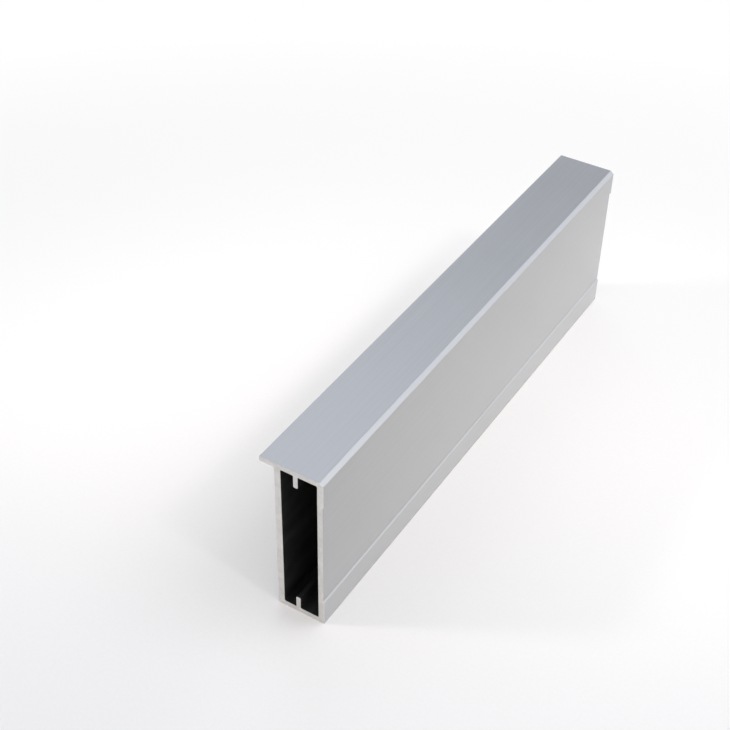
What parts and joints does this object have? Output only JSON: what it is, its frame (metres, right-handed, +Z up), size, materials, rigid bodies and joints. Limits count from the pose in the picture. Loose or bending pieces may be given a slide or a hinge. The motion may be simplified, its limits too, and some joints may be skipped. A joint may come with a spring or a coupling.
{
  "type": "aluminium extrusion profile",
  "caption": "Length of hollow aluminium extrusion: a tall narrow box section with an overhanging top lip, a stepped-back side face, a foot and inner ribs, sawn square at its ends.",
  "frame": {"origin": "middle of the underside of the part's box, at floor level, half way along its length", "axes": "+X across the section from the lip's side to the stepped-back face, +Y along the length, +Z up from the foot to the top face"},
  "size_m": [0.0222, 0.2, 0.06],
  "materials": {
    "anodised_aluminium": "satin natural anodised, with bare sawn ends"
  },
  "bodies": {
    "root": {"extrusion_profile": "anodised_aluminium"}
  },
  "joints": []
}
